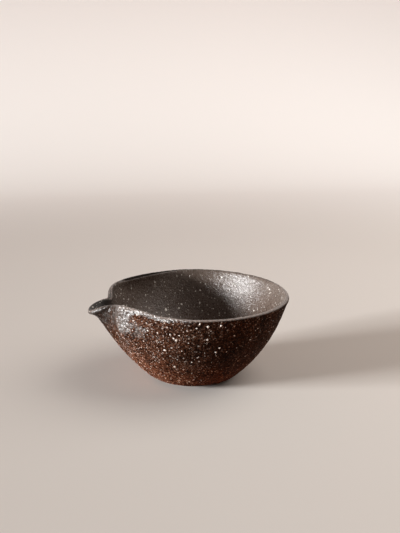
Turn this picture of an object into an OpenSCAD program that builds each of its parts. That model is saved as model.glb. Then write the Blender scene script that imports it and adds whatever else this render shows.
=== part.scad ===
// Katakuchi: a dark speckled stoneware bowl with a pouring spout, for serving sake.
// The origin is the middle of the foot on the table, +Z is up and the spout points along -X.
// Angles around the bowl are counted from the spout, so 0 is the spout and 180 is the back.

/* [Bowl] */
// Radius of the round rim that the bowl is thrown with
rim_radius = 61.7; // [57:0.1:66]
// Height of the thrown rim above the table
rim_height = 57.5; // [50:0.5:66]
// Radius of the heel, where the wall leaves the underside
heel_radius = 30.8; // [28:0.1:33]
// How far the rounded heel lifts from the underside
heel_lift = 0.9; // [0.4:0.1:2]
// Slope of the wall at the heel
heel_slope = 39.5; // [34:0.5:46]
// Slope of the wall at the rim
rim_slope = 81; // [74:0.5:86]
// Share of the wall's length that keeps the slope of the heel
heel_hold = 0.44; // [0.36:0.01:0.5]
// Share of the wall's length that keeps the slope of the rim
rim_hold = 0.21; // [0.15:0.01:0.3]
// Thickness of the floor and of the wall at the heel
floor_wall = 5; // [4:0.1:7]
// Thickness of the wall at the rim
rim_wall = 2.9; // [2.2:0.1:3.6]

/* [Pulled rim] */
// How far the rim is drawn towards the back
back_shift = 2.8; // [0:0.1:5]
// How much higher the rim is at the spout than beside it
rim_tilt = 1.2; // [0:0.1:3]
// Depth of the waist that is pressed in on each side of the spout
waist_depth = 4.5; // [0:0.1:6]
// Angle at which the waist is deepest
waist_angle = 54.6; // [50:0.2:62]
// Angle on each side over which the waist fades out
waist_spread = 41.8; // [34:0.2:46]
// How far the shoulders beside the spout swell out
shoulder_swell = 1.2; // [0:0.1:3]
// Angle at which the swell is greatest
swell_angle = 31.3; // [28:0.1:36]
// Angle on each side over which the swell fades out
swell_spread = 14.4; // [10:0.2:20]
// How far the shoulders rise above the rim
shoulder_rise = 1.7; // [0:0.1:3]
// Angle at which the rise is greatest
rise_angle = 37.3; // [32:0.1:44]
// Angle on each side over which the rise fades out
rise_spread = 22; // [16:0.5:30]
// How evenly the wall follows the pulled rim, low values reach further down
pull_power = 1.7; // [1.3:0.05:2.2]

/* [Spout] */
// How far the tip of the spout reaches past the thrown rim
spout_length = 8.3; // [5:0.1:14]
// How far inside the thrown rim the corner lies where the channel starts
root_inset = 6.4; // [4:0.1:8]
// Half of the width of the channel
spout_half = 11.4; // [9:0.1:13]
// Drop of the channel's edge below the shoulders at that corner
root_drop = 5.8; // [4:0.1:8]
// Slope of the channel's edge where it leaves the corner
edge_slope = 14; // [4:0.5:20]
// Drop of the tip below the shoulders
tip_drop = 12; // [9:0.1:14]
// How square the tip is across, from a pointed tip to a square one
tip_square = 0.9; // [0.6:0.02:1]
// Share of the pull that turns the last of the wall out into a drip edge
drip_share = 0.38; // [0.1:0.02:0.46]
// How sharply the drip edge turns out, high values only bend the last of the wall
drip_power = 14; // [8:1:20]
// How far the drip edge curls down at the tip
drip_curl = 1.6; // [0:0.1:2.5]
// Angle of the shoulders, where the rim turns in towards the channel
shoulder_angle = 30.4; // [28:0.1:32]
// How far the rim runs on from the shoulder before it turns in
shoulder_handle = 11.5; // [9:0.1:14]
// How far the channel's edge runs back past its corner, small values make a sharp corner
corner_handle = 1.2; // [0.5:0.1:3]
// How far the channel's edge runs straight before it turns to the tip
channel_handle = 6; // [4:0.1:8]
// Angle of the thrown rim that is pulled to the corner of the channel
corner_angle = 12.8; // [11:0.1:15]
// Angle of the edge of the notch that the spout is set into
notch_angle = 33.4; // [33:0.1:38]
// Share of the wall's height at which the notch starts
notch_share = 0.47; // [0.42:0.01:0.52]

/* [Foot] */
// Outer radius of the foot ring
foot_radius = 24; // [21:0.5:26]
// Width of the face that the foot ring stands on
foot_face = 4.5; // [3:0.1:7]
// Height of the foot ring
foot_height = 2; // [1.5:0.1:4]
// Chamfer on the two lower edges of the foot ring
foot_chamfer = 0.5; // [0.2:0.1:0.8]

/* [Slip and glaze] */
// Thickness of the slip that holds the spout in its notch
spout_slip = 0.6; // [0.4:0.1:1]
// Thickness of the slip that holds the foot ring
foot_slip = 0.4; // [0.2:0.1:0.8]
// Thickness of the glaze on the inside
glaze_coat = 0.4; // [0.3:0.1:0.8]

/* [Fineness] */
// Columns of the wall from the middle of the tip to the corner of the channel
tip_columns = 8; // [6:1:10]
// Columns from the corner of the channel to the shoulder
corner_columns = 8; // [6:1:10]
// Columns from the notch round to the back
back_columns = 23; // [18:1:30]
// Rows of the wall below the notch
low_rows = 6; // [4:1:8]
// Rows of the wall beside the notch
high_rows = 6; // [5:1:8]
// Rows of the rounded lip
lip_rows = 4; // [3:1:5]

/* [Hidden] */
$fn = 96;

body_bottom = foot_height + foot_slip;
foot_inner = foot_radius - foot_face - 2 * foot_chamfer;
heel_height = body_bottom + heel_lift;
wall_length = norm([rim_radius - heel_radius, rim_height - heel_height]);

slip_angle = spout_slip / rim_radius * 180 / PI;
slip_share = spout_slip / wall_length;
notch_outer = notch_angle + slip_angle;
round_share = 1 - rim_wall / 2 / wall_length;

// columns of the wall, as angles of the thrown rim
half_angles = concat(
    [for (k = [1 : tip_columns]) corner_angle * k / tip_columns],
    [for (k = [1 : corner_columns]) corner_angle + (shoulder_angle - corner_angle) * k / corner_columns],
    [notch_angle],
    [for (k = [0 : back_columns - 1]) notch_outer + (180 - notch_outer) * k / back_columns]
);
half_count = len(half_angles);
angles = concat([for (k = [half_count - 1 : -1 : 0]) -half_angles[k]], [0], half_angles, [180]);
columns = len(angles);
notch_column = tip_columns + corner_columns + 1;
middle_column = half_count;

// rows of the wall: three rings of the underside, then shares of the wall's height
floor_rings = [0.4, 0.7, 0.92];
lip_start = round_share - 0.05;
notch_top = notch_share + slip_share;
shares = concat(
    [for (k = [0 : low_rows]) notch_share * k / low_rows],
    [for (k = [0 : high_rows]) notch_top + (lip_start - notch_top) * k / high_rows],
    [for (k = [0 : lip_rows]) round_share + (1 - round_share) * sin(90 * k / lip_rows)]
);
rings = len(floor_rings);
rows = rings + len(shares);
notch_row = rings + low_rows;
glaze_row = rows - lip_rows + 1;

function unit(v) = v / norm(v);
// a smooth hump that is 1 at x = 0 and fades out at x = -1 and 1
function hump(x) = abs(x) < 1 ? pow(cos(90 * x), 2) : 0;

// a point on the cubic curve through p[0] and p[3] with handles p[1] and p[2]
function curve(p, t) =
    pow(1 - t, 3) * p[0] + 3 * pow(1 - t, 2) * t * p[1] + 3 * (1 - t) * t * t * p[2] + pow(t, 3) * p[3];

// thrown profile of the outer wall, as radius and height
heel_point = [heel_radius, heel_height];
rim_top = [rim_radius, rim_height];
profile = [
    heel_point,
    heel_point + heel_hold * wall_length * [cos(heel_slope), sin(heel_slope)],
    rim_top - rim_hold * wall_length * [cos(rim_slope), sin(rim_slope)],
    rim_top
];

// the pulled rim away from the spout, as distances along the spout, across it and up
function pulled_radius(a) =
    rim_radius - back_shift * cos(a)
    - waist_depth * hump((a - waist_angle) / waist_spread)
    + shoulder_swell * hump((a - swell_angle) / swell_spread);
function pulled_height(a) =
    rim_height + rim_tilt * cos(a) + shoulder_rise * hump((a - rise_angle) / rise_spread);
function pulled_point(a) =
    [pulled_radius(a) * cos(a), pulled_radius(a) * sin(a), pulled_height(a)];

// the rim from the shoulder round the corner, and along the channel to the tip
shoulder = pulled_point(shoulder_angle);
before_shoulder = pulled_point(shoulder_angle + 1);
shoulder_way = unit(shoulder - before_shoulder);
corner = [rim_radius - root_inset, spout_half, shoulder[2] - root_drop];
tip = [rim_radius + spout_length, 0, shoulder[2] - tip_drop];
edge_way = [cos(edge_slope), 0, -sin(edge_slope)];
corner_curve = [
    shoulder,
    shoulder + shoulder_handle * shoulder_way,
    corner - corner_handle * edge_way,
    corner
];
channel_curve = [
    corner,
    corner + channel_handle * edge_way,
    tip + [0, spout_half * tip_square, 0],
    tip
];
function half_rim(a) =
    a >= shoulder_angle ? pulled_point(a)
    : a >= corner_angle ? curve(corner_curve, (shoulder_angle - a) / (shoulder_angle - corner_angle))
    : curve(channel_curve, (corner_angle - a) / corner_angle);
function rim_point(a) =
    let (p = half_rim(abs(a)))
    [p[0], sign(a) * p[1], p[2]];

// the outer wall: the thrown profile, drawn towards the pulled rim more and more with height
function wall_point(a, share) =
    let (
        p = curve(profile, share),
        thrown = [p[0] * cos(a), p[0] * sin(a), p[1]],
        pull = rim_point(a) - [rim_radius * cos(a), rim_radius * sin(a), rim_height],
        lift = pow(share, pull_power),
        drip = pow(share, drip_power),
        reach = (1 - drip_share) * lift + drip_share * drip,
        curl = drip_curl * drip * hump(a / corner_angle)
    )
    thrown + [pull[0] * reach, pull[1] * reach, pull[2] * lift - curl];
function ring_point(a, r) = [heel_radius * r * cos(a), heel_radius * r * sin(a), body_bottom];

// the same in the part's own axes
function turned(p) = [-p[0], -p[1], p[2]];
skin = [for (a = angles) concat(
    [for (r = floor_rings) turned(ring_point(a, r))],
    [for (s = shares) turned(wall_point(a, s))]
)];

function share_of(j) = j < rings ? 0 : shares[j - rings];
function thickness(j) = floor_wall + (rim_wall - floor_wall) * share_of(j);
// the way along a curve at b, from the points before and after it
function way(a, b, c) = unit(b - a) * norm(c - b) + unit(c - b) * norm(b - a);
function outward(i, j) =
    j < rings - 1 ? [0, 0, -1]
    : let (
        here = skin[i][j],
        around = way(skin[column_of(i - 1)][j], here, skin[column_of(i + 1)][j]),
        up = j < rows - 1 ? way(skin[i][j - 1], here, skin[i][j + 1]) : here - skin[i][j - 1]
    )
    unit(cross(around, up));
normals = [for (i = [0 : columns - 1]) [for (j = [0 : rows - 1]) outward(i, j)]];

// the lip is rounded: both faces close on the middle of the wall, down to a narrow land
lip_land = 0.15;
function fullness(j) =
    let (x = (share_of(j) - round_share) / (1 - round_share))
    x <= 0 ? 1 : max(lip_land, sqrt(max(0, 1 - x * x)));
function layer(side, extra) = [for (i = [0 : columns - 1]) [for (j = [0 : rows - 1])
    skin[i][j] - normals[i][j] * (thickness(j) / 2 * (1 + side * fullness(j)) + extra)
]];
outer_face = layer(-1, 0);
inner_face = layer(1, 0);
glazed_face = layer(1, glaze_coat);

// cells of the wall, counted by the column and the row at their lower left
function column_of(i) = (i + columns) % columns;
function in_spout(i, j) =
    abs(i + 0.5 - middle_column) < notch_column && j > notch_row;
function in_seam(i, j) =
    abs(i + 0.5 - middle_column) < notch_column + 1 && j >= notch_row && !in_spout(i, j);
function in_piece(piece, i, j) =
    j < 0 || j >= rows - 1 ? false
    : piece == "glaze" ? j < glaze_row
    : piece == "spout" ? in_spout(i, j)
    : piece == "seam" ? in_seam(i, j)
    : !in_spout(i, j) && !in_seam(i, j);

// a sheet of the wall between two faces, with only the cells of one piece
module wall_sheet(front, back, piece, floored) {
    size = columns * rows;
    points = concat([for (c = front) each c], [for (c = back) each c]);
    function f(i, j) = column_of(i) * rows + j;
    function b(i, j) = size + f(i, j);
    cells = [for (i = [0 : columns - 1]) for (j = [0 : rows - 2]) if (in_piece(piece, i, j)) [i, j]];
    faces = concat(
        [for (c = cells) let (i = c[0], j = c[1]) each [
            [f(i, j), f(i + 1, j + 1), f(i + 1, j)],
            [f(i, j), f(i, j + 1), f(i + 1, j + 1)],
            [b(i, j), b(i + 1, j), b(i + 1, j + 1)],
            [b(i, j), b(i + 1, j + 1), b(i, j + 1)]
        ]],
        [for (c = cells) let (i = c[0], j = c[1]) each concat(
            in_piece(piece, column_of(i - 1), j) ? [] : [
                [f(i, j), b(i, j + 1), f(i, j + 1)],
                [f(i, j), b(i, j), b(i, j + 1)]
            ],
            in_piece(piece, column_of(i + 1), j) ? [] : [
                [f(i + 1, j), f(i + 1, j + 1), b(i + 1, j + 1)],
                [f(i + 1, j), b(i + 1, j + 1), b(i + 1, j)]
            ],
            in_piece(piece, i, j + 1) ? [] : [
                [f(i, j + 1), b(i + 1, j + 1), f(i + 1, j + 1)],
                [f(i, j + 1), b(i, j + 1), b(i + 1, j + 1)]
            ],
            floored || in_piece(piece, i, j - 1) ? [] : [
                [f(i, j), f(i + 1, j), b(i + 1, j)],
                [f(i, j), b(i + 1, j), b(i, j)]
            ]
        )],
        floored ? [
            [for (i = [0 : columns - 1]) f(i, 0)],
            [for (i = [columns - 1 : -1 : 0]) b(i, 0)]
        ] : []
    );
    polyhedron(points, faces, convexity = 6);
}

// the thrown bowl, with a notch in its wall for the spout
module bowl_body() {
    color("#3a241c") wall_sheet(outer_face, inner_face, "body", true);
}

// the spout: two shoulders and a finger-wide channel that ends in a drip edge
module pouring_spout() {
    color("#46332b") wall_sheet(outer_face, inner_face, "spout", false);
}

// the slip that holds the spout, along both sides and the bottom of the notch
module spout_slip_seam() {
    color("#402a21") wall_sheet(outer_face, inner_face, "seam", false);
}

// the low foot ring, with both lower edges chamfered
module foot_ring() {
    color("#4a2f22") rotate_extrude()
        polygon([
            [foot_inner, foot_chamfer],
            [foot_inner + foot_chamfer, 0],
            [foot_radius - foot_chamfer, 0],
            [foot_radius, foot_chamfer],
            [foot_radius, foot_height],
            [foot_inner, foot_height]
        ]);
}

// the slip between the foot ring and the underside of the bowl
module foot_slip_seam() {
    color("#402a21") translate([0, 0, foot_height])
        difference() {
            cylinder(r = foot_radius, h = foot_slip);
            translate([0, 0, -1]) cylinder(r = foot_inner, h = foot_slip + 2);
        }
}

// the glaze that lines the bowl and the channel up to the lip
module inner_glaze() {
    color("#54504c") wall_sheet(inner_face, glazed_face, "glaze", true);
}

bowl_body();
pouring_spout();
spout_slip_seam();
foot_ring();
foot_slip_seam();
inner_glaze();
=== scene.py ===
import math
import random

import bpy
import bmesh
import numpy as np
from mathutils import Matrix, Vector, noise


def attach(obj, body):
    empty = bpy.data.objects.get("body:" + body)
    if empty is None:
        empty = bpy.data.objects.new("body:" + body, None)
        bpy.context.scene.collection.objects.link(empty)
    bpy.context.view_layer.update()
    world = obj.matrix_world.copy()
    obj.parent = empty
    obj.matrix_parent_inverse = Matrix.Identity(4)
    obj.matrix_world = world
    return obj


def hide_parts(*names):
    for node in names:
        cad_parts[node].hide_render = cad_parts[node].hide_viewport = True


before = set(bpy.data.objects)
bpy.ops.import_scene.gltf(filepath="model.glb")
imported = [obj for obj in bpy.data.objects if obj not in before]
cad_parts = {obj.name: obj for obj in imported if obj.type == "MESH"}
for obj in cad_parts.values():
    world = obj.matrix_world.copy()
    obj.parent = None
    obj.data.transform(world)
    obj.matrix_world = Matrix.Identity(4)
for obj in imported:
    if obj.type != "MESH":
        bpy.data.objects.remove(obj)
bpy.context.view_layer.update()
print("frame loaded:", ", ".join(sorted(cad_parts)))

mm = 0.001

# the pot's wall in millimetres and degrees: angles run from the middle of the spout, shares from heel to rim,
# and a pair is the middle and reach of a hump, or the start and length of a climb
wall = {
    "rimRadius": 61.7, "rimHeight": 57.5, "heelRadius": 30.8, "heelHeight": 3.3, "underside": 2.4,
    "heelSlope": 39.5, "rimSlope": 81, "heelHold": 0.44, "rimHold": 0.21,  # the profile's two ends
    "floorWall": 5, "rimWall": 2.9,
    "backShift": 2.8, "rimTilt": 1.2, "pullPower": 1.7,
    "waistDepth": 4.5, "waistAngle": (54.6, 41.8), "waistPower": 6, "swell": 1.2, "swellAngle": (31.3, 14.4),
    "nearRise": 1.7, "nearRiseAngle": (37.3, 22), "farRise": 0.9, "farRiseAngle": (48, 45),  # the shoulders
    "wipe": 1.5, "wipeShare": (0.93, 0.07), "wipePower": 1.3, "wipeAngle": (28, 16),
    "cheek": 2.2, "cheekShare": (0.67, 0.2), "cheekAngle": (31, 16),
}
spout = {
    "length": 8.3, "rootInset": 6.4, "half": 11.4, "edgeSlope": 14, "tipDrop": 12, "tipSquare": 0.9,
    "dripShare": 0.38, "dripPower": 14, "dripCurl": 1.6,
    "shoulderAngle": 30.4, "cornerAngle": 12.8, "channelHandle": 6,
    "nearCorner": (4.6, 4.5, 8), "farCorner": (5.1, 1.2, 11.5),  # drop, then handles at corner and shoulder
    "easeAngle": 7, "easePower": 0.6, "easeReach": 2, "easeSteps": 9,
    "notchAngle": 33.4, "notchShare": 0.47, "slip": 0.6,  # the notch that the spout is luted into
}
wallLength = math.hypot(wall["rimRadius"] - wall["heelRadius"], wall["rimHeight"] - wall["heelHeight"])
roundShare = 1 - wall["rimWall"] / 2 / wallLength  # the lip's rounding starts here
seamShare = spout["slip"] / wallLength
seamAngle = math.degrees(spout["slip"] / wall["rimRadius"])


# 1 at the middle, easing down to 0 at the reach
def hump(x, middle, reach):
    off = (x - middle) / reach
    return np.where(np.abs(off) < 1, np.cos(np.pi / 2 * np.clip(off, -1, 1)) ** 2, 0)


# from 0 at the start to 1 over the length, which is negative where it climbs the other way
def climb(x, start, length):
    return np.clip((x - start) / length, 0, 1)


def curvePoint(points, t):
    t = np.asarray(t, float)[..., None]
    a, b, c, d = (np.asarray(p, float) for p in points)
    return a * (1 - t) ** 3 + 3 * b * t * (1 - t) ** 2 + 3 * c * t ** 2 * (1 - t) + d * t ** 3


def unit(v):
    return v / np.maximum(np.linalg.norm(v, axis=-1, keepdims=True), 1e-9)


def slopeWay(degrees):
    return np.array([math.cos(math.radians(degrees)), math.sin(math.radians(degrees))])


# the thrown bowl's rim with its waist and shoulders, before the spout
def thrownRim(angle, side):
    turn = np.radians(angle)
    radius = (wall["rimRadius"] - wall["backShift"] * np.cos(turn)
              - wall["waistDepth"] * hump(angle, *wall["waistAngle"])
              + wall["swell"] * hump(angle, *wall["swellAngle"]))
    height = (wall["rimHeight"] + wall["rimTilt"] * np.cos(turn)
              + wall[side + "Rise"] * hump(angle, *wall[side + "RiseAngle"]))
    return np.stack([radius * np.cos(turn), radius * np.sin(turn), height], -1)


# the whole rim: on each side one cubic curve to the corner and one along the channel to the tip
def rimLine(angle):
    shoulderAngle, cornerAngle = spout["shoulderAngle"], spout["cornerAngle"]
    away = np.abs(angle)
    edgeAlong, edgeDown = slopeWay(spout["edgeSlope"])
    edgeWay = np.array([edgeAlong, 0, -edgeDown])
    tipHeight = thrownRim(np.array(shoulderAngle), "near")[2] - spout["tipDrop"]
    tip = np.array([wall["rimRadius"] + spout["length"], 0, tipHeight])
    tipHandle = tip + [0, spout["half"] * spout["tipSquare"], 0]
    cornerSpan = shoulderAngle - cornerAngle
    line = np.zeros((len(angle), 3))
    for side, onSide in (("near", angle >= 0), ("far", angle < 0)):
        drop, cornerHandle, shoulderHandle = spout[side + "Corner"]
        shoulder = thrownRim(np.array(shoulderAngle), side)
        oneDegreeBack = thrownRim(np.array(shoulderAngle + 1), side)
        corner = np.array([wall["rimRadius"] - spout["rootInset"], spout["half"], shoulder[2] - drop])
        cornerCurve = [shoulder, shoulder + shoulderHandle * unit(shoulder - oneDegreeBack),
                       corner - cornerHandle * edgeWay, corner]
        channelCurve = [corner, corner + spout["channelHandle"] * edgeWay, tipHandle, tip]
        inThrown = onSide & (away >= shoulderAngle)
        inCorner = onSide & (away < shoulderAngle) & (away >= cornerAngle)
        inChannel = onSide & (away < cornerAngle)
        line[inThrown] = thrownRim(away[inThrown], side)
        line[inCorner] = curvePoint(cornerCurve, (shoulderAngle - away[inCorner]) / cornerSpan)
        line[inChannel] = curvePoint(channelCurve, (cornerAngle - away[inChannel]) / cornerAngle)
    line[:, 1] *= np.where(angle < 0, -1, 1)
    return line


# how far the rim is pulled out of its circle and pressed in at the waist; a mean over the angles around,
# so that the corners ease below the rim
def easedPull(angles, width):
    pull, waist, total = 0, 0, 0
    for step in np.linspace(-spout["easeReach"], spout["easeReach"], spout["easeSteps"]):
        near = (angles + step * width + 180) % 360 - 180
        turn = np.radians(near)
        way = np.stack([np.cos(turn), np.sin(turn), np.zeros_like(turn)], -1)
        press = -wall["waistDepth"] * hump(np.abs(near), *wall["waistAngle"])[:, None] * way
        weight = math.exp(-step * step / 2)
        pull = pull + weight * (rimLine(near) - way * wall["rimRadius"] - [0, 0, wall["rimHeight"]] - press)
        waist = waist + weight * press
        total = total + weight
    return pull / total, waist / total


# the outer skin, one row of points for each share; the spout is turned to -x
def wallSkin(angles, shares):
    turn = np.radians(angles)
    heel = np.array([wall["heelRadius"], wall["heelHeight"]])
    top = np.array([wall["rimRadius"], wall["rimHeight"]])
    profile = [heel, heel + wall["heelHold"] * wallLength * slopeWay(wall["heelSlope"]),
               top - wall["rimHold"] * wallLength * slopeWay(wall["rimSlope"]), top]
    curl = spout["dripCurl"] * hump(angles, 0, spout["cornerAngle"])
    rows = []
    for share in shares:
        radius, height = curvePoint(profile, share)
        lift, drip = share ** wall["pullPower"], share ** spout["dripPower"]
        reach = (1 - spout["dripShare"]) * lift + spout["dripShare"] * drip
        pull, waist = easedPull(angles, spout["easeAngle"] * (1 - share) ** spout["easePower"])
        pressed = waist * share ** wall["waistPower"]
        row = np.stack([radius * np.cos(turn) + pull[:, 0] * reach + pressed[:, 0],
                        radius * np.sin(turn) + pull[:, 1] * reach + pressed[:, 1],
                        height + pull[:, 2] * lift - curl * drip], -1)
        rows.append(row * [-1, -1, 1])
    return np.array(rows)


# the tangent at the middle one of three points, weighted so that uneven spacing leaves no ripple
def wayThrough(before, here, after):
    first, second = here - before, after - here
    firstLength = np.linalg.norm(first, axis=-1, keepdims=True)
    secondLength = np.linalg.norm(second, axis=-1, keepdims=True)
    return unit(first) * secondLength + unit(second) * firstLength


def skinNormals(rows):
    along = wayThrough(np.roll(rows, 1, 1), rows, np.roll(rows, -1, 1))
    padded = np.concatenate([2 * rows[:1] - rows[1:2], rows, 2 * rows[-1:] - rows[-2:-1]])
    upward = wayThrough(padded[:-2], rows, padded[2:])
    return unit(np.cross(along, upward))


def meshNormals(rows):
    along = np.roll(rows, -1, 1) - np.roll(rows, 1, 1)
    upward = np.gradient(rows, axis=0)
    return unit(np.cross(along, upward))


# columns of the mesh: even steps in each of the tongue, the corners, the seam and the thrown rim
def wallAngles(fine):
    notch = spout["notchAngle"]
    stops = [0, spout["cornerAngle"], spout["shoulderAngle"], notch - seamAngle, notch, 180]
    counts = [fine["tongue"], fine["corner"], fine["shoulder"], 1, fine["thrown"]]
    half = np.concatenate([np.linspace(a, b, n, endpoint=False) for a, b, n in zip(stops, stops[1:], counts)])
    return np.concatenate([half, [180], -half[:0:-1]])


print("wall form ready: wall length %.1f mm" % wallLength)


# helpers for meshes
def addObject(name, data):
    made = bpy.data.objects.new(name, data)
    bpy.context.scene.collection.objects.link(made)
    return made


def newPiece(name, vertices, faces, material, nodes=(), marks=None, shading=None):
    mesh = bpy.data.meshes.new(name)
    mesh.from_pydata([tuple(v) for v in np.asarray(vertices) * mm], [], faces)
    for mark, values in (marks or {}).items():
        layer = mesh.attributes.new(mark, "FLOAT", "POINT")
        layer.data.foreach_set("value", np.asarray(values, np.float32))
    shaped = bmesh.new()
    shaped.from_mesh(mesh)
    bmesh.ops.recalc_face_normals(shaped, faces=shaped.faces)
    shaped.to_mesh(mesh)
    shaped.free()
    mesh.shade_smooth()
    if shading is not None:  # the whole wall's normals, so that its pieces shade on into each other
        mesh.normals_split_custom_set_from_vertices([tuple(n) for n in shading])
    mesh.materials.append(material)
    piece = addObject(name, mesh)
    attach(piece, "root")
    if nodes:
        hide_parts(*nodes)
    print("piece", name, len(mesh.polygons), "faces")


# the four corners of a cell in a grid of points that closes round
def gridCell(row, column, rows, around):
    nextRow, nextColumn = (row + 1) % rows, (column + 1) % around
    return [row * around + column, row * around + nextColumn,
            nextRow * around + nextColumn, nextRow * around + column]


seedShift = (7.3, 3.1, 5.7)  # where each seed moves the noise
noiseSeeds = {"clay": 1, "pit": 9, "wrinkle": 11, "glaze": 21, "foot": 41, "ragged": 51}


def noiseAt(points, size, seed):
    shift = Vector([seed * step for step in seedShift])
    return np.array([noise.noise(Vector(p) / size + shift) for p in points])


# swells of several sizes, added up
def swells(points, layers, firstSeed):
    return sum(height * noiseAt(points, size, seed) for seed, (size, height) in enumerate(layers, firstSeed))


# helpers for finishes
def newFinish(name):
    material = bpy.data.materials.new(name)
    material.use_nodes = True
    return material, material.node_tree.nodes["Principled BSDF"]


# links each socket, or sets each plain value, on the inputs of a node
def fill(node, inputs):
    for key, value in inputs.items():
        socket = node.inputs[key]
        if isinstance(value, bpy.types.NodeSocket):
            node.id_data.links.new(value, socket)
        elif socket.type == "RGBA":
            socket.default_value = (*value, 1)
        else:
            socket.default_value = value


# a new node in the tree of another node or socket
def addNode(beside, kind, **settings):
    made = beside.id_data.nodes.new("ShaderNode" + kind)
    for key, value in settings.items():
        setattr(made, key, value)
    return made


# a new node beside the sockets that feed it
def put(kind, inputs, **settings):
    feeding = next(value for value in inputs.values() if isinstance(value, bpy.types.NodeSocket))
    made = addNode(feeding, kind, **settings)
    fill(made, inputs)
    return made


def calc(kind, first, second):
    return put("Math", {0: first, 1: second}, operation=kind).outputs[0]


def times(first, second):
    return calc("MULTIPLY", first, second)


# spreads a value between two stops over a range of results, held at both ends
def spread(value, start, stop, low=0, high=1, ease="LINEAR"):
    inputs = {"Value": value, "From Min": start, "From Max": stop, "To Min": low, "To Max": high}
    return put("MapRange", inputs, interpolation_type=ease).outputs["Result"]


def vectorCalc(kind, inputs, output="Vector"):
    return put("VectorMath", inputs, operation=kind).outputs[output]


def mixValue(factor, first, second):
    return put("Mix", {0: factor, 2: first, 3: second}).outputs[0]


def mixColour(factor, first, second, blend="MIX", clamp=False):
    inputs = {0: factor, 6: first, 7: second}
    return put("Mix", inputs, data_type="RGBA", blend_type=blend, clamp_result=clamp).outputs[2]


def tinted(base, tint, factor=1, clamp=False):
    return mixColour(factor, base, tint, "MULTIPLY", clamp)


def grey(value):
    return put("CombineColor", {0: value, 1: value, 2: value}).outputs[0]


def ramp(factor, stops):
    made = put("ValToRGB", {"Fac": factor})
    elements = made.color_ramp.elements
    while len(elements) < len(stops):
        elements.new(1)
    for element, (place, colour) in zip(elements, stops):
        element.position = place
        element.color = (*colour, 1) if isinstance(colour, tuple) else (colour, colour, colour, 1)
    return made.outputs["Color"]


def objectPlace(shader):
    return addNode(shader, "TexCoord").outputs["Object"]


def paintedMark(shader, mark):
    return addNode(shader, "Attribute", attribute_name=mark).outputs["Fac"]


def grainNoise(place, size, detail, roughness, output="Fac"):
    inputs = {"Vector": place, "Scale": 1 / (size * mm), "Detail": detail, "Roughness": roughness}
    return put("TexNoise", inputs).outputs[output]


# cells of one size: a random number for each, and the distance from its middle
def grainCells(place, size):
    cells = put("TexVoronoi", {"Vector": place, "Scale": 1 / (size * mm)})
    pick = put("SeparateColor", {"Color": cells.outputs["Color"]}).outputs[0]
    return pick, cells.outputs["Distance"]


def bumped(strength, depth, height):
    inputs = {"Strength": strength, "Distance": depth, "Height": height}
    return put("Bump", inputs).outputs["Normal"]


# a noise is its size in millimetres, detail and roughness; a spread is its start and stop and what they give
clayLook = {
    "grainTones": [(0, (0.008, 0.0024, 0.001)), (0.3, (0.026, 0.0086, 0.0037)),
                   (0.6, (0.059, 0.0226, 0.0108)), (0.86, (0.106, 0.0495, 0.0295)),
                   (0.955, (0.19, 0.118, 0.084)), (0.988, (0.45, 0.37, 0.31)), (1, (0.88, 0.81, 0.74))],
    "coarse": 1.05, "fine": 0.55, "fineShare": 0.5, "fineBump": 0.5,  # two sizes of grain
    "warp": 0.35, "warpNoise": (1.1, 3, 0.5),
    "creviceShade": (0.34, 0.56, 0.25, 1),  # painted shade: darker where the coarse grains' domes are low
    "fleck": (0.4, 3, 0.7), "fleckTones": (0.3, 0.7, 0.6, 1.45),
    "patch": (13, 5, 0.6), "patchTones": (0.35, 0.65, 0.6, 1.35),
    "footTint": (2.7, 2.1, 1.75), "footFull": 5, "footTop": 28,  # heights between which the redder foot fades
    # painted light: the clay beside the spout is lightened as if lit, less so at the foot
    "paintedLightTint": (2, 2, 2.1), "paintedLightFootCut": 0.5,
    "satin": (0.052, 0.04, 0.033), "satinShare": 0.75, "satinGain": 1.45, "satinEdge": (0.02, 0.2, 0, 1),
    "drag": (1.3, 4, 0.65), "dragMiddle": 0.5, "dragGain": 2.8, "dragCover": (0.25, 1, 0, 1),
    # the lip's pale colour: worn clay, and a painted highlight along the rim
    "lip": (0.31, 0.25, 0.218), "wearAndHighlight": (1.3, 3, 0.6), "wearAndHighlightShare": (0.35, 0.62, 0.3, 0.9),
    "charcoal": (0.021, 0.0165, 0.014), "charcoalShare": 0.8,
    "mottle": (2.4, 5, 0.7), "roughness": (0.3, 0.7, 0.45, 0.75), "lipRoughness": 0.34,
    "satinRoughness": 0.32, "shine": 0.02, "lipCoat": 0.85, "coatRoughness": 0.32, "coatIor": 2,
    "wrinkle": (1.5, 2, 0.5), "wrinkleHeight": 1.6,
    "bump": 0.9, "lipBump": 0.6, "bumpDepth": 0.5, "satinDepth": 0.85,
}


# grains of one size: a random tone for each, and a dome for the bump and the painted crevice shade
def clayGrains(place, size):
    pick, distance = grainCells(place, size)
    return ramp(pick, clayLook["grainTones"]), calc("SUBTRACT", 1, distance)


# places pushed about a little, so that the grains' outlines wander
def bentPlace(place):
    wander = grainNoise(place, *clayLook["warpNoise"], output="Color")
    wander = vectorCalc("SUBTRACT", {0: wander, 1: (0.5, 0.5, 0.5)})
    wander = vectorCalc("SCALE", {0: wander, "Scale": 2 * clayLook["warp"] * mm})
    return vectorCalc("ADD", {0: place, 1: wander})


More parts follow.
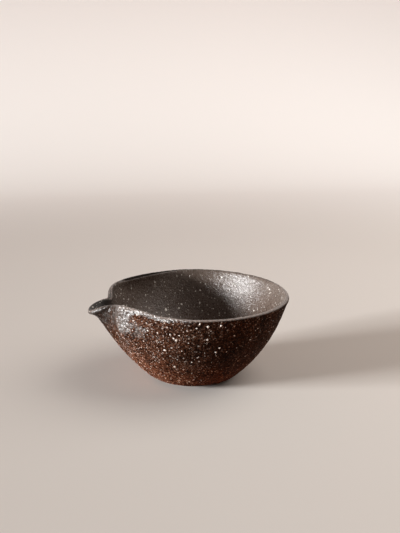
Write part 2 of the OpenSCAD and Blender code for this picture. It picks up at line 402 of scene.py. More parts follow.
def clayFinish(name, tint=1):
    look = clayLook
    material, shader = newFinish(name)
    place = objectPlace(shader)
    height = put("SeparateXYZ", {"Vector": place}).outputs["Z"]
    low = spread(height, look["footFull"] * mm, look["footTop"] * mm, 1, 0)
    marks = ("lip", "satin", "charcoal", "paintedLight")
    lip, satin, charcoal, paintedLight = (paintedMark(shader, mark) for mark in marks)

    # the bare clay: painted shade in the crevices, lighter and redder towards the foot, and painted light
    # beside the spout
    bent = bentPlace(place)
    coarseTone, coarseDome = clayGrains(bent, look["coarse"])
    fineTone, fineDome = clayGrains(bent, look["fine"])
    base = mixColour(look["fineShare"], coarseTone, fineTone)
    base = tinted(base, grey(spread(coarseDome, *look["creviceShade"])))
    base = tinted(base, look["footTint"], low)
    fleck = spread(grainNoise(place, *look["fleck"]), *look["fleckTones"])
    base = tinted(base, grey(fleck))
    aboveFoot = calc("SUBTRACT", 1, times(low, look["paintedLightFootCut"]))
    base = tinted(base, look["paintedLightTint"], times(paintedLight, aboveFoot))
    patch = spread(grainNoise(place, *look["patch"]), *look["patchTones"])
    base = tinted(base, grey(patch), clamp=True)

    # over it the dragged glaze, the pale lip of wear and painted highlight, and the charcoal
    drag = calc("SUBTRACT", grainNoise(place, *look["drag"]), look["dragMiddle"])
    cover = calc("ADD", times(satin, look["satinGain"]), times(drag, look["dragGain"]))
    cover = times(spread(cover, *look["dragCover"]), spread(satin, *look["satinEdge"]))
    base = mixColour(times(cover, look["satinShare"]), base, look["satin"])
    wearAndHighlight = spread(grainNoise(place, *look["wearAndHighlight"]), *look["wearAndHighlightShare"])
    base = mixColour(times(lip, wearAndHighlight), base, look["lip"])
    base = mixColour(times(charcoal, look["charcoalShare"]), base, look["charcoal"])

    # roughness and relief: grains where the clay is bare, wrinkles under the glaze
    mottle = grainNoise(place, *look["mottle"])
    rough = mixValue(cover, spread(mottle, *look["roughness"]), look["satinRoughness"])
    domes = calc("ADD", coarseDome, times(fineDome, look["fineBump"]))
    wrinkle = times(grainNoise(bent, *look["wrinkle"]), look["wrinkleHeight"])
    glazed = calc("MAXIMUM", satin, charcoal)
    relief = mixValue(glazed, calc("ADD", domes, mottle), wrinkle)
    strength = spread(lip, 0, 1, look["bump"], look["lipBump"])
    depth = spread(satin, 0, 1, look["bumpDepth"] * mm, look["satinDepth"] * mm)
    normal = bumped(strength, depth, relief)
    fill(shader, {
        "Base Color": tinted(base, (tint, tint, tint)),
        "Roughness": mixValue(lip, rough, look["lipRoughness"]),
        "Specular IOR Level": look["shine"],
        "Coat Weight": calc("MAXIMUM", cover, times(lip, look["lipCoat"])),
        "Coat Roughness": look["coatRoughness"], "Coat IOR": look["coatIor"],
        "Normal": normal, "Coat Normal": normal,
    })
    return material


glazeLook = {
    "charcoal": (0.083, 0.059, 0.046), "ash": (0.13, 0.099, 0.081),
    "cloud": (17, 5, 0.6), "cloudStops": [(0.35, 0), (0.68, 1)],
    # painted shade: the glaze is darker in the low pits of its grain
    "grain": (1.25, 4, 0.65), "grainStops": [(0.3, 0.7), (0.46, 0)], "pitShade": 0.4,
    # painted shade: the glaze in the spout's channel is darkened where it lies in shadow
    "channel": (0.018, 0.013, 0.01), "channelFrom": -47, "channelTo": -58, "channelRoughness": 0.6,
    "deepShadeTint": (0.7, 0.48, 0.38), "deepShadeFull": 12, "deepShadeTop": 52,  # painted shade of the deep inside, darker and warmer; heights between which it fades
    "speck": (0.8, 0.74, 0.67), "speckEdge": 0.1,
    "dust": (1.1, 0.3, 0.4), "dustShare": 0.5,  # specks by cell size, share of the cells and dot
    "grit": (1.9, 0.3, 0.38), "gritShare": 0.9, "gritBump": 0.3,
    "roughness": (0.3, 0.7, 0.22, 0.36), "shine": 0.7, "bump": 1, "bumpDepth": 0.42,
}


# in a share of the cells of this size, a dot of up to the given part of the cell
def speckMask(place, size, share, dot):
    pick, distance = grainCells(place, size)
    reach = spread(pick, 1 - share, 1, 0, dot)
    return spread(calc("SUBTRACT", reach, distance), 0, glazeLook["speckEdge"])


def glazeFinish(name):
    look = glazeLook
    material, shader = newFinish(name)
    place = objectPlace(shader)
    along, _, height = put("SeparateXYZ", {"Vector": place}).outputs
    channel = spread(along, look["channelFrom"] * mm, look["channelTo"] * mm)
    deepShade = spread(height, look["deepShadeFull"] * mm, look["deepShadeTop"] * mm, 1, 0)
    cloud = ramp(grainNoise(place, *look["cloud"]), look["cloudStops"])
    grain = grainNoise(place, *look["grain"])
    dust = speckMask(place, *look["dust"])
    grit = speckMask(place, *look["grit"])
    pitShadeTone = tuple(look["pitShade"] * tone for tone in look["charcoal"])
    base = mixColour(cloud, look["charcoal"], look["ash"])
    # painted shade in the pits of the glaze's grain
    base = mixColour(ramp(grain, look["grainStops"]), base, pitShadeTone)
    # painted shade in the spout's channel
    base = mixColour(channel, base, look["channel"])
    # painted shade, darker and warmer towards the floor inside
    base = tinted(base, look["deepShadeTint"], deepShade)
    base = mixColour(times(dust, look["dustShare"]), base, look["speck"])
    base = mixColour(times(grit, look["gritShare"]), base, look["speck"])
    rough = spread(grain, *look["roughness"])
    relief = calc("ADD", grain, times(grit, look["gritBump"]))
    fill(shader, {
        "Base Color": base,
        "Roughness": mixValue(channel, rough, look["channelRoughness"]),
        "Specular IOR Level": look["shine"],
        "Normal": bumped(look["bump"], look["bumpDepth"] * mm, relief),
    })
    return material


footShade = 0.8  # of the tones of the bare clay
bareClay = clayFinish("bareClay")
spoutClay = clayFinish("spoutClay")
slipClay = clayFinish("slipClay")
footClay = clayFinish("footClay", footShade)
satinGlaze = glazeFinish("satinGlaze")
print("clay and glaze ready")

# the clay wall: one ribbon of rows from the underside over the lip to the floor, cut into its pieces
clayFine = {
    "tongue": 30, "corner": 38, "shoulder": 6, "thrown": 160,  # columns on each side
    "undersideRows": 14, "lowRows": 42, "highRows": 54, "lipRows": 6, "hiddenRows": 8, "floorRows": 6,
    "firstRing": 0.06, "heelTurn": (0.9, 0.1), "floorInset": 4,
}
angles = wallAngles(clayFine)
columns = len(angles)


def wallShares(low, high):
    stops = [0, spout["notchShare"], spout["notchShare"] + seamShare, roundShare]
    stretches = [np.linspace(a, b, n, endpoint=False) for a, b, n in zip(stops, stops[1:], (low, 1, high))]
    return np.concatenate([*stretches, [roundShare]])


# turns up the lip's rounding, and the shares that they reach
def lipTurning(degrees, count):
    turns = np.radians(np.linspace(0, degrees, count + 1))[1:]
    return turns, roundShare + (1 - roundShare) * np.sin(turns)


def thickness(shares):
    gain = wall["rimWall"] - wall["floorWall"]
    return (wall["floorWall"] + gain * shares)[:, None, None]


# flat rings from the middle out; the last ones turn up to the heel
def flatRings(count, height, radius, lift=0):
    turn = np.radians(angles)
    rings = []
    for share in np.linspace(clayFine["firstRing"], 1, count, endpoint=False):
        level = np.full_like(turn, height + lift * climb(share, *clayFine["heelTurn"]) ** 2)
        rings.append(np.stack([-radius * share * np.cos(turn), -radius * share * np.sin(turn), level], -1))
    return np.array(rings)


# beside the spout a wet finger wipes the rim's outer edge round, and a thumb leaves a full cheek below
def wiped(rows, rowNormals, shares):
    along = wall["wipe"] * hump(np.abs(angles), *wall["wipeAngle"])
    down = climb(shares, *wall["wipeShare"]) ** wall["wipePower"]
    full = wall["cheek"] * hump(np.abs(angles), *wall["cheekAngle"])
    below = hump(shares, *wall["cheekShare"])
    return rows + rowNormals * (below[:, None] * full - down[:, None] * along)[:, :, None]


lipTurns, lipShares = lipTurning(90, clayFine["lipRows"])
outerShares = wallShares(clayFine["lowRows"], clayFine["highRows"])
innerShares = wallShares(clayFine["hiddenRows"], clayFine["hiddenRows"])
skin = wallSkin(angles, np.concatenate([outerShares, lipShares]))
normals = skinNormals(skin)
outerCount = len(outerShares)
lipSkin, lipNormals = skin[outerCount:], normals[outerCount:]
fullness = np.cos(lipTurns)[:, None, None]
halfLip = lipNormals * thickness(lipShares) / 2
outerWall = wiped(skin[:outerCount], normals[:outerCount], outerShares)
lipOuter = wiped(lipSkin - halfLip * (1 - fullness), lipNormals, lipShares)
lipInner = lipSkin - halfLip * (1 + fullness)
innerSkin = wallSkin(angles, innerShares)
innerWall = innerSkin - skinNormals(innerSkin) * thickness(innerShares)
underside = flatRings(clayFine["undersideRows"], wall["underside"], wall["heelRadius"],
                      wall["heelHeight"] - wall["underside"])
floorTop = wall["underside"] + wall["floorWall"]
floorRings = flatRings(clayFine["floorRows"], floorTop, wall["heelRadius"] - clayFine["floorInset"])

ribbon = np.concatenate([underside, outerWall, lipOuter, lipInner[-2::-1], innerWall[::-1], floorRings[::-1]])
rowShare = np.concatenate([outerShares, lipShares, lipShares[-2::-1], innerShares[::-1]])
rowShare = np.pad(rowShare, (len(underside), len(floorRings)))
rowCount = len(ribbon)
heelRow = len(underside)
crestRow = heelRow + outerCount + len(lipOuter) - 1
innerTopRow = crestRow + len(lipInner)

clayRelief = {  # size and height of each swell, pit or wrinkle, in millimetres
    "swells": [(24, 0.22), (6, 0.1), (1.6, 0.15), (0.9, 0.08)],  # hand, lumps, grit and fine grit
    "pit": (2.2, 0.22), "pitFrom": 0.28, "pitGain": 2,
    "wrinkle": (2.3, 0.36), "wrinkleMiddle": 0.35, "wrinkleGain": 2,
    "bandWrinkle": 0.35, "charcoalWrinkle": 0.6,  # how much the band and the charcoal are wrinkled
    "lipKeep": 0.65, "lipCalm": (0.968, 0.022),  # grit is worn down along the lip
    "ragged": 3,
}


# how far the clay stands out of the smooth form at each point
def clayLift(points, calm, wrinkled):
    relief = clayRelief
    pitSize, pitDepth = relief["pit"]
    foldSize, foldHeight = relief["wrinkle"]
    lift = swells(points, relief["swells"], noiseSeeds["clay"])
    pit = climb(noiseAt(points, pitSize, noiseSeeds["pit"]), relief["pitFrom"], 1) * relief["pitGain"]
    fold = np.abs(noiseAt(points, foldSize, noiseSeeds["wrinkle"])) * relief["wrinkleGain"]
    lift = lift - pitDepth * pit + foldHeight * (relief["wrinkleMiddle"] - fold) * wrinkled
    return lift * (1 - calm * (1 - relief["lipKeep"]))


# marks on the clay, for each row and column of the ribbon
away = np.abs(angles)[None, :]
share = rowShare[:, None]
ragged = noiseAt(ribbon.reshape(-1, 3), clayRelief["ragged"], noiseSeeds["ragged"]).reshape(rowCount, columns)

drawnGlaze = {  # dark glaze drawn up to the lip: rows past the crest where it ends, and more at the back
    "near": {"row": 1, "from": (45, 16), "backRows": 8, "back": (104, 10)},
    "far": {"row": -4, "from": (26, 16), "backRows": 12, "back": (158, 14)},
    "charcoal": 1.15,
}


def drawnMark(side):
    edge = drawnGlaze[side]
    lastRow = crestRow + edge["row"] + edge["backRows"] * climb(away, *edge["back"])
    return (np.arange(rowCount)[:, None] > lastRow) * climb(away, *edge["from"])


# where the lip is pale: worn clay, and a painted highlight along the rim
lipWearAndHighlight = {
    "start": 0.986, "backRise": 0.006, "back": (105, 25), "frontDrop": 0.042, "front": (95, -40),
    "full": 0.99, "thin": (70, 40), "thinFull": 0.01, "thinPower": 1.2,  # further back only the crest is pale
    "tongue": (17, -5), "tongueLoss": 0.45,
}


def lipMark(drawn):
    wearAndHighlight = lipWearAndHighlight
    thin = climb(away, *wearAndHighlight["thin"])
    start = wearAndHighlight["start"] + wearAndHighlight["backRise"] * climb(away, *wearAndHighlight["back"])
    start = start - wearAndHighlight["frontDrop"] * climb(away, *wearAndHighlight["front"])
    length = wearAndHighlight["full"] + wearAndHighlight["thinFull"] * thin - start
    mark = climb(share, start, length) ** (1 + wearAndHighlight["thinPower"] * thin)
    mark[crestRow + 1:] = 1
    return mark * (1 - drawn) * (1 - wearAndHighlight["tongueLoss"] * climb(away, *wearAndHighlight["tongue"]))


draggedPatch = {  # the bright patch on the cheek, which leans, and its trail along the wall
    "angle": 29, "bend": 0.8, "leanBelow": 40, "leanAbove": 20,
    "full": 1.3, "width": 8.5, "ragged": 0.7, "bottom": (0.63, 0.1), "bottomRagged": 0.05,
    "trailAngle": 43, "trailFull": 0.75, "trailWidth": 16, "trailRagged": 0.9, "trailMost": 0.6,
    "trailShare": (0.74, 0.16),
}


def patchMark():
    drag = draggedPatch
    middle = (drag["angle"] + drag["leanBelow"] * climb(share, drag["bend"], -1)
              + drag["leanAbove"] * climb(share, drag["bend"], 1))
    patch = np.clip(drag["full"] - np.abs(away - middle) / drag["width"] + drag["ragged"] * ragged, 0, 1)
    patch = patch * climb(share + drag["bottomRagged"] * ragged, *drag["bottom"])
    trail = drag["trailFull"] - np.abs(away - drag["trailAngle"]) / drag["trailWidth"]
    trail = np.clip(trail + drag["trailRagged"] * ragged, 0, drag["trailMost"])
    return np.maximum(patch, trail * hump(share, *drag["trailShare"]))


rimBand = {  # a satin band under the lip, deeper at the shoulder and beyond it
    "share": 0.935, "fade": 0.04, "ragged": 0.025,
    "shoulderDrop": 0.055, "shoulder": (34, 18), "beyondDrop": 0.014, "beyond": (62, 22),
    "back": (86, -24), "cheekSide": (22, 6), "tongueSide": (13, -4), "tongueMost": 0.5,
}


def bandMark():
    band = rimBand
    start = (band["share"] - band["shoulderDrop"] * hump(away, *band["shoulder"])
             - band["beyondDrop"] * hump(away, *band["beyond"]))
    tongue = np.minimum(climb(away, *band["tongueSide"]), band["tongueMost"])
    along = climb(away, *band["back"]) * np.maximum(climb(away, *band["cheekSide"]), tongue)
    return climb(share + band["ragged"] * ragged, start, band["fade"]) * along


flankGlaze = {  # charcoal on the outside of the spout, wider towards the rim, with some sheen
    "bottom": (0.56, 0.2), "angle": 26, "widen": 4, "top": (0.85, 0.1), "fade": 6, "ragged": 3,
    "sheen": 0.42, "sheenLevel": 0.7, "sheenRagged": 1.4,
}


def flankMarks():
    form = flankGlaze
    edge = form["angle"] + form["widen"] * climb(share, *form["top"])
    mark = climb(share, *form["bottom"]) * climb(away - form["ragged"] * ragged, edge, -form["fade"])
    mark[crestRow + 1:] = 0
    return mark, form["sheen"] * mark * np.clip(form["sheenLevel"] + form["sheenRagged"] * ragged, 0, 1)


paintedLightForm = {"back": (78, -38), "middle": (2, 12)}  # painted light: clay lightened as if lit, on both sides of the spout

drawn = np.where(angles < 0, drawnMark("far"), drawnMark("near"))
patch, band = patchMark(), bandMark()
flank, sheen = flankMarks()
charcoal = np.maximum(flank, drawnGlaze["charcoal"] * drawn)
paintedLight = climb(away, *paintedLightForm["back"]) * climb(away, *paintedLightForm["middle"])
clayMarks = {
    "lip": lipMark(drawn),
    "satin": np.maximum(np.maximum(patch, band), sheen) * (1 - drawn),
    "charcoal": charcoal,
    "paintedLight": np.broadcast_to(paintedLight, (rowCount, columns)),
}
clayMarks = {mark: np.append(values, [0, 0]) for mark, values in clayMarks.items()}  # none on the two poles
print("marks ready:", ", ".join(clayMarks))

# relief on the rows that show, but none below the underside
wrinkled = np.maximum(patch, clayRelief["bandWrinkle"] * band)
wrinkled = np.maximum(wrinkled, clayRelief["charcoalWrinkle"] * charcoal).ravel()
calm = np.repeat(climb(rowShare, *clayRelief["lipCalm"]), columns)
shown = innerTopRow * columns
clayPoints = ribbon.reshape(-1, 3).copy()
lift = clayLift(clayPoints[:shown], calm[:shown], wrinkled[:shown])
clayPoints[:shown] += meshNormals(ribbon).reshape(-1, 3)[:shown] * lift[:, None]
belowHeel = clayPoints[:heelRow * columns]
belowHeel[:, 2] = np.maximum(belowHeel[:, 2], wall["underside"])
claySheet = clayPoints.reshape(ribbon.shape)
sheetNormals = meshNormals(claySheet)
clayPoints = np.concatenate([clayPoints, [[0, 0, wall["underside"]], [0, 0, floorTop]]])
clayNormals = np.concatenate([sheetNormals.reshape(-1, 3), [[0, 0, -1], [0, 0, 1]]])


def columnAt(angle):
    return int(np.argmin(np.abs(angles - angle)))


# near and far column, outer and inner row; inset 0 is the notch and 1 the spout in it
def notchLine(inset):
    angle = spout["notchAngle"] - inset * seamAngle
    outerRow = heelRow + clayFine["lowRows"] + inset
    innerRow = innerTopRow + len(innerWall) - 1 - clayFine["hiddenRows"] - inset
    return columnAt(angle), columnAt(-angle), outerRow, innerRow


def at(row, column):
    return row * columns + column % columns


# true for the cells inside a notch line
def insideNotch(inset):
    near, far, top, bottom = notchLine(inset)
    inside = np.zeros((rowCount - 1, columns), bool)
    inside[top:bottom, :near] = True
    inside[top:bottom, far:] = True
    return inside


# the two cheeks and the sill of the notch, through the wall
def notchFaces(inset):
    near, far, top, bottom = notchLine(inset)
    cheeks = [[at(row, column) for row in range(top, bottom + 1)] for column in (near, far)]
    span = list(range(far, columns)) + list(range(0, near))
    sill = [[at(top, c), at(top, c + 1), at(bottom, c + 1), at(bottom, c)] for c in span]
    return cheeks + sill


# fans that close the first and last row of a sheet at the two poles that follow its points
def poleFans(rows):
    first = [[at(0, c + 1), at(0, c), rows * columns] for c in range(columns)]
    last = [[at(rows - 1, c), at(rows - 1, c + 1), rows * columns + 1] for c in range(columns)]
    return first + last


def clayPiece(name, cells, extra, material, node):
    faces = [gridCell(row, column, rowCount, columns) for row, column in zip(*np.nonzero(cells))] + extra
    used = sorted({i for face in faces for i in face})
    index = {old: new for new, old in enumerate(used)}
    faces = [[index[i] for i in face] for face in faces]
    marks = {mark: values[used] for mark, values in clayMarks.items()}
    newPiece(name, clayPoints[used], faces, material, [node], marks, clayNormals[used])


bodyHole, spoutArea = insideNotch(0), insideNotch(1)
bodyNotch, spoutNotch = notchFaces(0), notchFaces(1)
clayPiece("thrownBody", ~bodyHole, bodyNotch + poleFans(rowCount), bareClay, "bowl_body")
clayPiece("lutedSpout", spoutArea, spoutNotch, spoutClay, "pouring_spout")
clayPiece("spoutSlip", bodyHole & ~spoutArea, bodyNotch + spoutNotch, slipClay, "spout_slip_seam")

# the satin glaze: a thin skin inside, feathered out on the inner side of the lip
coat = {
    "thick": 0.4, "edge": 0.04, "feather": 0.05, "lipTurn": 40, "floorInset": 3.6,
    "swells": [(20, 0.1), (5, 0.06), (2.2, 0.1)], "deepest": -0.25,  # size and height: hand, wave and grain
    "wallRows": 62, "lipRows": 3, "floorRows": 20, "backRows": 12, "calmRows": 5,
    "easeReach": 12, "easeRounds": 60,
}
glazeWallShares = np.linspace(0, roundShare, coat["wallRows"])


# the glaze's back, on the clay, and its smooth front
def glazeSkin():
    turns, lipUp = lipTurning(coat["lipTurn"], coat["lipRows"])
    shares = np.concatenate([glazeWallShares, lipUp])
    full = np.concatenate([np.ones(coat["wallRows"]), np.cos(turns)])[:, None, None]
    skin = wallSkin(angles, shares)
    normals = skinNormals(skin)
    back = skin - normals * thickness(shares) / 2 * (1 + full)
    thick = coat["edge"] + (coat["thick"] - coat["edge"]) * climb(shares, 1, -coat["feather"])
    return back, back - normals * thick[:, None, None]


# eases the turn from floor to wall inside
def easeFloor(rows):
    middle, reach = coat["floorRows"], coat["easeReach"]
    part = rows[middle - reach:middle + reach + 1]
    for _ in range(coat["easeRounds"]):
        part[1:-1] = (part[:-2] + 2 * part[1:-1] + part[2:]) / 4
    return rows


backWall, frontWall = glazeSkin()
glazeTop = floorTop + coat["thick"]
glazeFloor = flatRings(coat["floorRows"], glazeTop, wall["heelRadius"] - coat["floorInset"])
front = easeFloor(np.concatenate([glazeFloor, frontWall]))
frontNormals = -meshNormals(front)
glazeSwell = swells(front.reshape(-1, 3), coat["swells"], noiseSeeds["glaze"]).reshape(front.shape[:2])
edgeKeep = climb(np.arange(len(front)), len(front) - 1, -coat["calmRows"])[:, None]
glazeSheet = front + frontNormals * (np.maximum(glazeSwell, coat["deepest"]) * edgeKeep)[:, :, None]
backPick = np.linspace(len(backWall) - 1, 0, coat["backRows"]).round().astype(int)
glazeRows = np.concatenate([glazeSheet, backWall[backPick], floorRings[::-1]])
glazeCount = len(glazeRows)
glazePoints = np.concatenate([glazeRows.reshape(-1, 3), [[0, 0, glazeTop], [0, 0, floorTop]]])
glazeFaces = [gridCell(row, column, glazeCount, columns)
              for row in range(glazeCount - 1) for column in range(columns)] + poleFans(glazeCount)
newPiece("glazeLining", glazePoints, glazeFaces, satinGlaze, ["inner_glaze"])

# the foot: a turned ring and the slip that holds it
foot = {
    "radius": 24, "face": 4.5, "innerEase": 1, "height": 2, "edge": 0.5, "edgeSteps": 4,
    "slip": 0.4, "slipEdge": 0.15, "slipSteps": 3,
    "swells": [(9, 0.1), (1.6, 0.05)], "around": 220,  # size and height of the wobble and the grit
}
footInner = foot["radius"] - foot["face"] - foot["innerEase"]


def roundedSection(bottom, top, edge, steps):
    inner, outer = footInner + edge, foot["radius"] - edge
    low, high = bottom + edge, top - edge
    corners = ((outer, low, -90), (outer, high, 0), (inner, high, 90), (inner, low, 180))
    section = []
    for radius, height, start in corners:
        for k in range(steps + 1):
            turn = math.radians(start + 90 * k / steps)
            section.append((radius + edge * math.cos(turn), height + edge * math.sin(turn)))
    return section


def turnedRing(name, section, material, node):
    count, around = len(section), foot["around"]
    turn = np.linspace(0, 2 * np.pi, around, endpoint=False)
    out = np.stack([np.cos(turn), np.sin(turn), np.zeros_like(turn)], -1)
    points = np.concatenate([radius * out + [0, 0, height] for radius, height in section])
    swell = swells(points, foot["swells"], noiseSeeds["foot"])
    points = points + unit(points * [1, 1, 0]) * swell[:, None]
    faces = [gridCell(row, column, count, around) for row in range(count) for column in range(around)]
    newPiece(name, points, faces, material, [node])


ringSection = roundedSection(0, foot["height"], foot["edge"], foot["edgeSteps"])
slipSection = roundedSection(foot["height"], foot["height"] + foot["slip"],
                             foot["slipEdge"], foot["slipSteps"])
turnedRing("footRing", ringSection, footClay, "foot_ring")
turnedRing("footSlip", slipSection, slipClay, "foot_slip_seam")

# feldspar grains that stand out of the clay, and others sunk in the glaze; chief lists angle, share and size
grainLook = {
    "pale": (0.94, 0.9, 0.85), "stained": (0.7, 0.61, 0.52), "roughness": 0.4,
    "small": 1150, "smallSize": (0.2, 0.42), "large": 62, "largeSize": (0.42, 0.74),
    "proud": 0.38, "seed": 17, "keepOff": (1, 3),  # rows left free below and above
    "cheekShare": 0.62, "cheekAngle": 40, "cheekLoss": 0.9,  # few on the dragged patch
    "leastLoss": 0.05, "mostLoss": 0.5, "lossFrom": 45, "lossLength": 90,  # and fewer towards the back
    "chief": [(88.5, 0.911, 0.95), (70, 0.712, 0.98), (61.5, 0.562, 0.88), (66.5, 0.351, 1),
              (96.5, 0.61, 0.78), (94.5, 0.556, 0.86), (117.5, 0.652, 0.68), (105, 0.754, 0.6),
              (88.5, 0.724, 0.64), (79, 0.429, 0.62), (52, 0.772, 0.7), (58, 0.772, 0.64),
              (66.5, 0.778, 0.82), (68, 0.73, 0.64), (84, 0.945, 0.6), (96, 0.917, 0.7)],
}
sunkLook = {
    "pale": (0.92, 0.88, 0.82), "stained": (0.66, 0.6, 0.53), "roughness": 0.36,
    "small": 420, "smallSize": (0.22, 0.4), "large": 70, "largeSize": (0.4, 0.66),
    "proud": 0.28, "seed": 29, "keepOff": (6, 8), "loss": 0.2, "backLoss": 0.4, "backFrom": 115,
    "chief": [(-90.5, 0.494, 1.15), (-75.5, 0.446, 1.3), (-87.5, 0.446, 1.15),
              (-106, 0.518, 1), (-46.5, 0.824, 0.8), (-105.5, 0.679, 0.85)],
}
grainForm = {
    "stretch": ((0.8, 1.35), (0.65, 1.05), (0.55, 0.8)), "chips": (0.66, 1.18),
    "rounding": {"small": 1, "large": 2},
    "stain": (1.7, 3, 0.6), "stainStops": [(0.4, 0), (0.7, 1)],
    "crystal": (0.5, 3, 0.6), "crystalRange": (0.3, 0.7), "roughSpread": 0.08, "bump": 0.3, "bumpDepth": 0.1,
}
offWall = 9  # share of rows where no listed grain is laid


def feldsparFinish(name, look):
    material, shader = newFinish(name)
    place = objectPlace(shader)
    stain = ramp(grainNoise(place, *grainForm["stain"]), grainForm["stainStops"])
    crystal = grainNoise(place, *grainForm["crystal"])
    level, give = look["roughness"], grainForm["roughSpread"]
    fill(shader, {
        "Base Color": mixColour(stain, look["pale"], look["stained"]),
        "Roughness": spread(crystal, *grainForm["crystalRange"], level - give, level + give),
        "Normal": bumped(grainForm["bump"], grainForm["bumpDepth"] * mm, crystal),
    })
    return material


def grainBall(subdivisions):
    ball = bmesh.new()
    bmesh.ops.create_icosphere(ball, subdivisions=subdivisions, radius=1)
    points = np.array([v.co[:] for v in ball.verts])
    faces = [[v.index for v in face.verts] for face in ball.faces]
    ball.free()
    return points, faces


grainBalls = {kind: grainBall(level) for kind, level in grainForm["rounding"].items()}


# the chance that a drawn grain is left out, on the clay and under the glaze
def clayLoss(away, share):
    look = grainLook
    if share > look["cheekShare"] and away < look["cheekAngle"]:
        return look["cheekLoss"]
    return min(look["mostLoss"], max(look["leastLoss"], (away - look["lossFrom"]) / look["lossLength"]))


def glazeLoss(away, share):
    return sunkLook["loss"] + sunkLook["backLoss"] * (away > sunkLook["backFrom"])


# kind, row, column and size of each grain; rows are drawn by the length that they cover
def pickGrains(look, sheet, shares, start, stop, loss):
    pick = random.Random(look["seed"])
    below, above = look["keepOff"]
    span = np.linalg.norm(np.roll(sheet, -1, 1) - sheet, axis=-1).sum(1)[start + below:stop - above]
    chance = np.cumsum(span) / span.sum()
    grains = [("large", int(np.argmin(np.abs(shares - share))), columnAt(angle), size)
              for angle, share, size in look["chief"]]
    for kind in ("large", "small"):
        low, high = look[kind + "Size"]
        for _ in range(look[kind]):
            row = start + below + int(np.searchsorted(chance, pick.random()))
            column = pick.randrange(columns)
            size = low + (high - low) * pick.random() ** 2
            if pick.random() > loss(abs(angles[column]), shares[row]):
                grains.append((kind, row, column, size))
    return grains


def layGrains(name, look, grains, sheet, normals, material):
    shape = random.Random(look["seed"] + 1)  # apart from the places, so that either can change alone
    points, faces, base = [], [], 0
    for kind, row, column, size in grains:
        ball, ballFaces = grainBalls[kind]
        place, up = sheet[row, column], normals[row, column]
        across = unit(np.cross(up, [shape.random() - 0.5 for _ in range(3)]))
        spin = np.stack([across, np.cross(up, across), up])
        stretch = np.array([shape.uniform(*limits) for limits in grainForm["stretch"]]) * size
        chips = np.array([[shape.uniform(*grainForm["chips"])] for _ in ball])
        sunk = stretch[2] * (1 - 2 * look["proud"])
        points.append((ball * chips * stretch) @ spin + place - up * sunk)
        faces += [[i + base for i in face] for face in ballFaces]
        base += len(ball)
    newPiece(name, np.concatenate(points), faces, material)


feldspar = feldsparFinish("feldspar", grainLook)
sunkFeldspar = feldsparFinish("sunkFeldspar", sunkLook)
clayShares = np.where(np.arange(rowCount) < crestRow, rowShare, offWall)
grains = pickGrains(grainLook, claySheet, clayShares, heelRow, heelRow + outerCount, clayLoss)
layGrains("feldsparGrains", grainLook, grains, claySheet, sheetNormals, feldspar)
glazeShares = np.pad(glazeWallShares, (coat["floorRows"], coat["lipRows"]), constant_values=offWall)
grains = pickGrains(sunkLook, glazeSheet, glazeShares, 0, len(front), glazeLoss)
layGrains("sunkGrains", sunkLook, grains, glazeSheet, frontNormals, sunkFeldspar)

# the stage, in metres: a pale floor that sweeps up behind, and three low pale sides far off
stageLook = {
    "floor": (0.74, 0.7, 0.66), "bounce": (0.32, 0.125, 0.052), "roughness": 0.9, "shine": 0.1,
    "glow": (1, 0.965, 0.945), "backGlow": 0.36, "glowFrom": 0.4, "glowTo": 1.2,
    "width": 8, "near": -8, "far": 0.75, "curve": 0.35, "arcPoints": 17, "high": 1.6,
    "wallHigh": 0.75, "wallTone": (0.76, 0.71, 0.66),
}


# 1 for rays that show the stage, 0 for rays that only carry its light
def seenRay(shader):
    path = addNode(shader, "LightPath").outputs
    mirrored = calc("MAXIMUM", path["Is Glossy Ray"], path["Is Transmission Ray"])
    return calc("MAXIMUM", path["Is Camera Ray"], mirrored)


# a strip of quads through pairs of points
def stripMesh(name, vertices, material):
    faces = [(k, k + 1, k + 3, k + 2) for k in range(0, len(vertices) - 2, 2)]
    mesh = bpy.data.meshes.new(name)
    mesh.from_pydata(vertices, [], faces)
    mesh.materials.append(material)
    return mesh


def sweepFloor():
    look = stageLook
    material, shader = newFinish("paleFloor")
    seen = seenRay(shader)
    offMiddle = vectorCalc("LENGTH", {0: objectPlace(shader)}, "Value")
    glow = spread(offMiddle, look["glowFrom"], look["glowTo"], 0, look["backGlow"], "SMOOTHSTEP")
    fill(shader, {
        "Base Color": mixColour(seen, look["bounce"], look["floor"]),
        "Emission Color": look["glow"],
        "Emission Strength": times(seen, glow),
        "Roughness": look["roughness"], "Specular IOR Level": look["shine"],
    })
    arc = [(look["far"] + look["curve"] * math.sin(turn), look["curve"] * (1 - math.cos(turn)))
           for turn in np.linspace(0, math.pi / 2, look["arcPoints"])]
    line = [(look["near"], 0), *arc, (look["far"] + look["curve"], look["high"])]
    edges = (-look["width"], look["width"])
    mesh = stripMesh("sweepFloor", [(x, y, z) for y, z in line for x in edges], material)
    mesh.shade_smooth()
    floor = addObject("sweepFloor", mesh)


# for views from the other sides; they give no light and stand below the window's rays
def farWalls():
    look = stageLook
    material, shader = newFinish("paleWall")
    fill(shader, {
        "Base Color": (0, 0, 0), "Specular IOR Level": 0,
        "Emission Color": look["wallTone"],
        "Emission Strength": seenRay(shader),
    })
    side, near, far = look["width"], look["near"], look["far"] + look["curve"]
    corners = [(-side, far), (-side, near), (side, near), (side, far)]
    mesh = stripMesh("farWalls", [(x, y, z) for x, y in corners for z in (0, look["wallHigh"])], material)
    walls = addObject("farWalls", mesh)


# two window panes from the left, turned towards the camera, a panel above and a dim warm world
windowLook = {"azimuths": (-4, -13), "elevation": 10.3, "strength": 3.4, "spread": 8.5}
topLook = {"way": (0.62, -0.02, 0.78), "distance": 1, "size": 0.9, "watts": 5.4, "colour": (1, 0.93, 0.87)}
worldTone = (0.115, 0.099, 0.088)


def addLamp(name, lamp, place, way):
    holder = addObject(name, lamp)
    holder.matrix_world = Matrix.LocRotScale(place, way.to_track_quat("Z", "Y"), None)


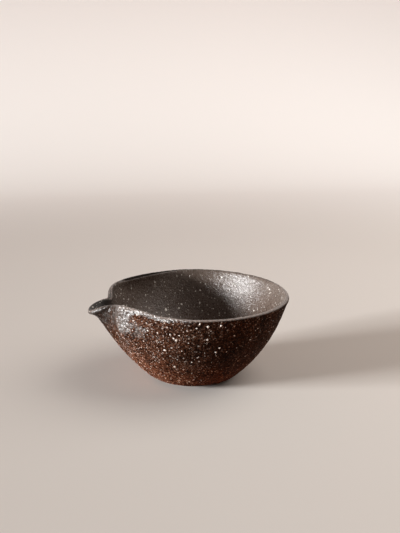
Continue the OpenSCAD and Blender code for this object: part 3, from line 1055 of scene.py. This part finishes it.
def windowPanes():
    rise = math.radians(windowLook["elevation"])
    for azimuth in windowLook["azimuths"]:
        lamp = bpy.data.lights.new("windowPane", "SUN")
        lamp.energy = windowLook["strength"]
        lamp.angle = math.radians(windowLook["spread"])
        turn = math.radians(azimuth)
        way = Vector((-math.cos(turn) * math.cos(rise), math.sin(turn) * math.cos(rise), math.sin(rise)))
        addLamp("windowPane", lamp, way, way)


def topSoft():
    lamp = bpy.data.lights.new("topSoft", "AREA")
    lamp.shape = "SQUARE"
    lamp.size = topLook["size"]
    lamp.energy = topLook["watts"]
    lamp.color = topLook["colour"]
    way = Vector(topLook["way"]).normalized()
    addLamp("topSoft", lamp, way * topLook["distance"], way)


def dimWorld():
    world = bpy.data.worlds.new("studio")
    bpy.context.scene.world = world
    world.use_nodes = True
    fill(world.node_tree.nodes["Background"], {"Color": worldTone, "Strength": 1})


sweepFloor()
farWalls()
windowPanes()
topSoft()
dimWorld()
print("stage and light ready")

# the camera: where the photograph was taken from, found by fitting the rim and the wall to it
cameraFit = {
    "aim": (0, 0, 25), "distance": 519.1, "elevation": 19.864, "azimuth": -10.209, "roll": 0.341,
    "focalPixels": 760, "aimPixel": (193.16, 338.24), "picture": (400, 533), "sensor": 36, "clipStart": 10,
}


def photoCamera():
    fit = cameraFit
    turn, rise, roll = (math.radians(fit[key]) for key in ("azimuth", "elevation", "roll"))
    toCamera = Vector((math.sin(turn) * math.cos(rise), -math.cos(turn) * math.cos(rise), math.sin(rise)))
    right = Vector((math.cos(turn), math.sin(turn), 0))
    up = toCamera.cross(right)
    wide, high = fit["picture"]
    overRight, overUp = wide / 2 - fit["aimPixel"][0], fit["aimPixel"][1] - high / 2
    back = (toCamera * fit["focalPixels"] - right * overRight - up * overUp).normalized()
    right = (right * math.cos(roll) + up * math.sin(roll)).normalized()
    up = back.cross(right).normalized()
    right = up.cross(back)
    camera = bpy.data.cameras.new("photoCamera")
    camera.sensor_width = fit["sensor"]
    camera.lens = fit["focalPixels"] * fit["sensor"] / high
    camera.clip_start = fit["clipStart"] * mm
    holder = addObject("photoCamera", camera)
    place = (Vector(fit["aim"]) + toCamera * fit["distance"]) * mm
    holder.matrix_world = Matrix.Translation(place) @ Matrix((right, up, back)).transposed().to_4x4()
    bpy.context.scene.camera = holder


photoCamera()
bpy.context.scene.view_settings.view_transform = "Standard"
